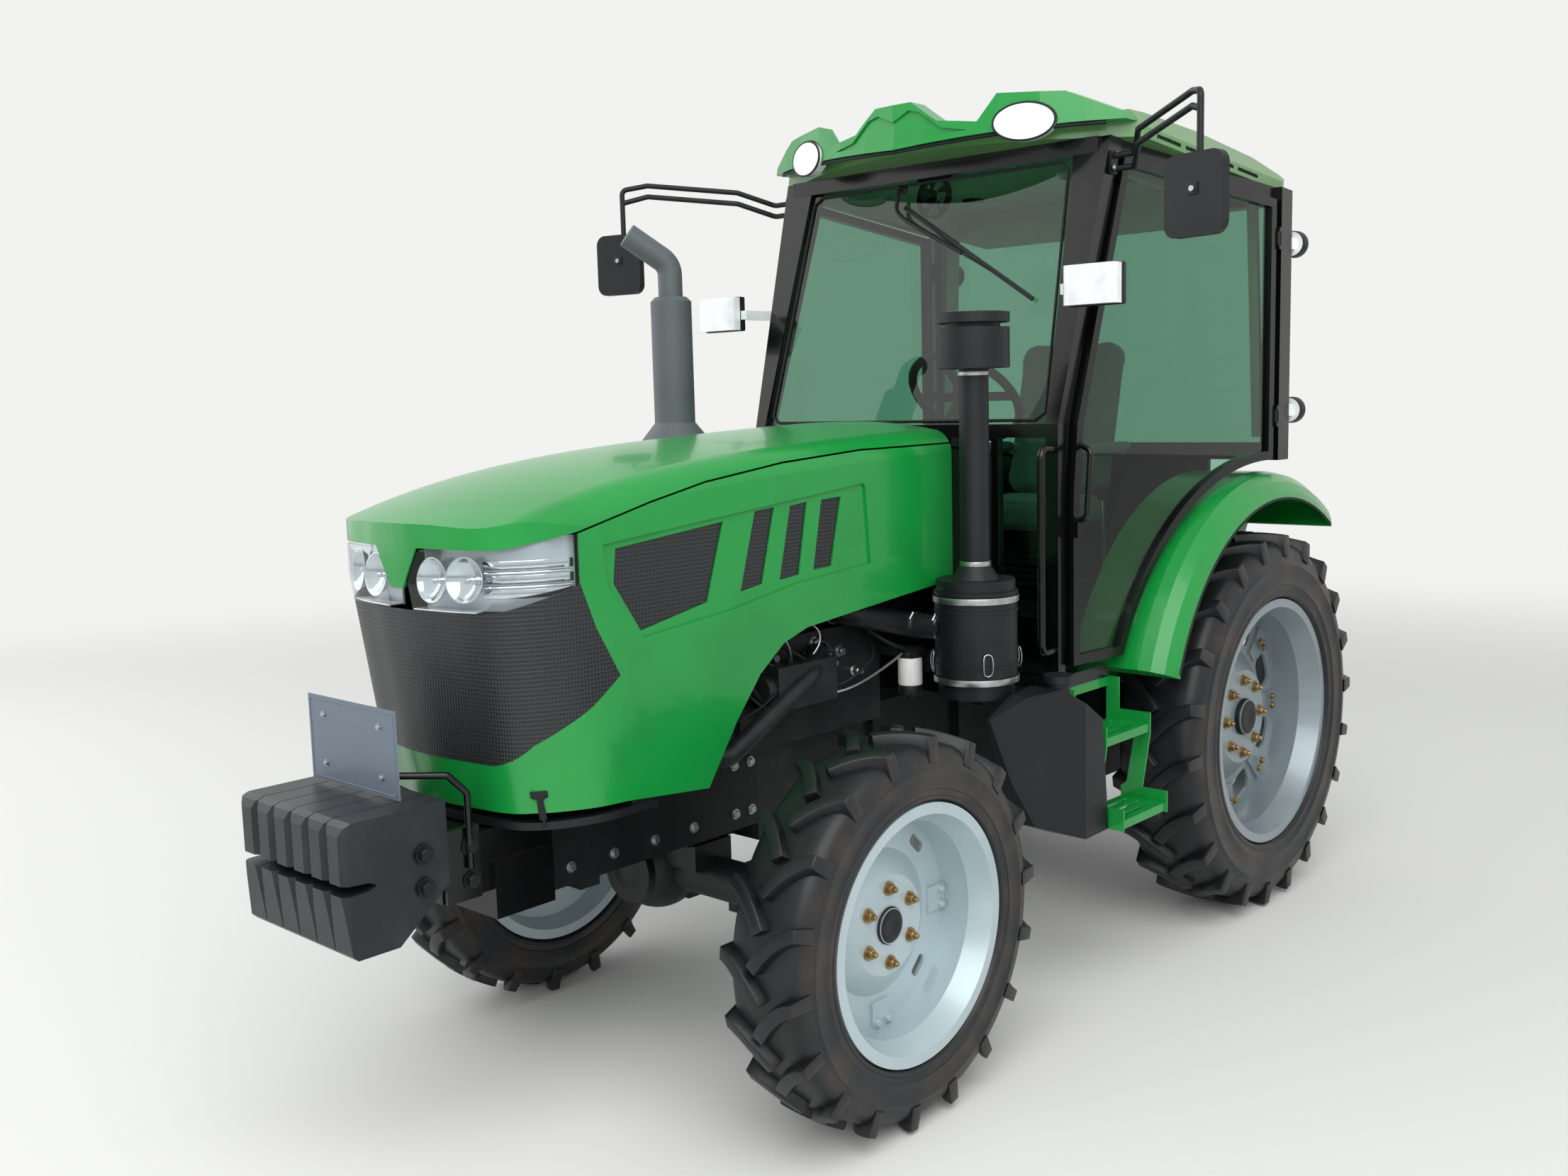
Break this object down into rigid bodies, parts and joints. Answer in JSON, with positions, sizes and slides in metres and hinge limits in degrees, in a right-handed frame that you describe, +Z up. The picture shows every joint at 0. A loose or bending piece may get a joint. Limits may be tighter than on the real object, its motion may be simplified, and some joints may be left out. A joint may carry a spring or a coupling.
{
  "type": "four-wheel-drive farm tractor with closed cab",
  "caption": "Farm tractor with a closed cab, lifting hood, steered front wheels, front weights and a rear three-point hitch.",
  "frame": {"origin": "on the ground under the middle of the whole machine", "axes": "-Y towards the nose, +X towards the tractor's left side, +Z up"},
  "size_m": [2.4074, 4.217, 2.7116],
  "materials": {
    "green_paint": "gloss green enamel",
    "black_paint": "gloss black enamel",
    "cast_black": "black painted casting",
    "engine_metal": "painted casting",
    "exhaust_grey": "heat-proof grey paint",
    "black_plastic": "moulded black plastic",
    "mesh_black": "fine black mesh",
    "lamp_clear": "clear and white lamp lenses",
    "rim_silver": "silver wheel enamel",
    "tyre": "black tyre rubber",
    "glass": "green tinted safety glass",
    "roof_paint": "green roof panel",
    "plate_grey": "bare grey plate",
    "seat_cloth": "grey seat cover",
    "steel": "bare steel"
  },
  "bodies": {
    "chassis": {"air_cleaner": "black_plastic", "battery_box": "black_plastic", "bulkhead": "black_paint", "cab_floor": "black_paint", "cab_frame": "black_paint", "cab_glass": "glass", "cab_roof": "roof_paint", "console": "black_plastic", "drawbar": "cast_black", "engine": "engine_metal", "exhaust": "exhaust_grey", "fenders": "green_paint", "front_axle": "cast_black", "front_bolster": "cast_black", "front_weights": "cast_black", "fuel_tank": "black_plastic", "grille": "mesh_black", "handrails": "black_paint", "headlamps": "lamp_clear", "lamps": "lamp_clear", "mirrors": "black_plastic", "nose_surround": "green_paint", "number_plate": "plate_grey", "radiator": "engine_metal", "roof_visor": "green_paint", "seat": "seat_cloth", "side_panels": "green_paint", "steps": "green_paint", "top_bracket": "cast_black", "transmission": "cast_black", "weight_carrier": "cast_black"},
    "hood": {"hood": "green_paint"},
    "door_left": {"door_frame_left": "black_paint", "door_glass_left": "glass"},
    "door_right": {"door_frame_right": "black_paint", "door_glass_right": "glass"},
    "knuckle_left": {"knuckle_left": "cast_black"},
    "knuckle_right": {"knuckle_right": "cast_black"},
    "front_wheel_left": {"front_rim_left": "rim_silver", "front_tyre_left": "tyre"},
    "front_wheel_right": {"front_rim_right": "rim_silver", "front_tyre_right": "tyre"},
    "rear_wheel_left": {"rear_rim_left": "rim_silver", "rear_tyre_left": "tyre"},
    "rear_wheel_right": {"rear_rim_right": "rim_silver", "rear_tyre_right": "tyre"},
    "tie_rod": {"tie_rod": "steel"},
    "lower_links": {"lower_links": "black_paint"},
    "lift_arms": {"lift_arms": "black_paint"},
    "lift_rods": {"lift_rods": "black_paint"}
  },
  "joints": [
    {"name": "hood_hinge", "type": "hinge", "parent": "chassis", "child": "hood", "pos_m": [0, -0.141, 1.67], "axis": [-1, 0, 0], "range_deg": [0, 50]},
    {"name": "door_left_hinge", "type": "hinge", "parent": "chassis", "child": "door_left", "pos_m": [0.742, 1.224, 1.7], "axis": [0, 0, 1], "range_deg": [0, 75]},
    {"name": "door_right_hinge", "type": "hinge", "parent": "chassis", "child": "door_right", "pos_m": [-0.742, 1.224, 1.7], "axis": [0, 0, -1], "range_deg": [0, 75]},
    {"name": "steer_left", "type": "hinge", "parent": "chassis", "child": "knuckle_left", "pos_m": [0.56, -0.891, 0.5], "axis": [0, 0, 1], "range_deg": [-34, 34]},
    {"name": "steer_right", "type": "hinge", "parent": "chassis", "child": "knuckle_right", "pos_m": [-0.56, -0.891, 0.5], "axis": [0, 0, 1], "range_deg": [-34, 34]},
    {"name": "tie_rod_slide", "type": "slide", "parent": "chassis", "child": "tie_rod", "axis": [-1, 0, 0], "range_m": [-0.1019, 0.1019]},
    {"name": "front_wheel_left_spin", "type": "hinge", "parent": "knuckle_left", "child": "front_wheel_left", "pos_m": [0.7, -0.891, 0.5], "axis": [1, 0, 0], "continuous": true},
    {"name": "front_wheel_right_spin", "type": "hinge", "parent": "knuckle_right", "child": "front_wheel_right", "pos_m": [-0.7, -0.891, 0.5], "axis": [1, 0, 0], "continuous": true},
    {"name": "rear_wheel_left_spin", "type": "hinge", "parent": "chassis", "child": "rear_wheel_left", "pos_m": [0.64, 1.186, 0.656], "axis": [1, 0, 0], "continuous": true},
    {"name": "rear_wheel_right_spin", "type": "hinge", "parent": "chassis", "child": "rear_wheel_right", "pos_m": [-0.64, 1.186, 0.656], "axis": [1, 0, 0], "continuous": true},
    {"name": "hitch_lift", "type": "hinge", "parent": "chassis", "child": "lower_links", "pos_m": [0, 1.324, 0.5], "axis": [1, 0, 0], "range_deg": [-10, 28]},
    {"name": "lift_arm_turn", "type": "hinge", "parent": "chassis", "child": "lift_arms", "pos_m": [0, 1.324, 0.98], "axis": [1, 0, 0], "range_deg": [-10, 28]},
    {"name": "lift_rod_swing", "type": "hinge", "parent": "lift_arms", "child": "lift_rods", "pos_m": [0.3, 1.62358, 0.96407], "axis": [1, 0, 0], "range_deg": [-28, 10]}
  ],
  "couplings": [
    {"joint": "steer_right", "follows": "steer_left", "ratio": 1},
    {"joint": "tie_rod_slide", "follows": "steer_left", "m_per_rad": 0.17},
    {"joint": "lift_arm_turn", "follows": "hitch_lift", "ratio": 1},
    {"joint": "lift_rod_swing", "follows": "hitch_lift", "ratio": -1}
  ]
}
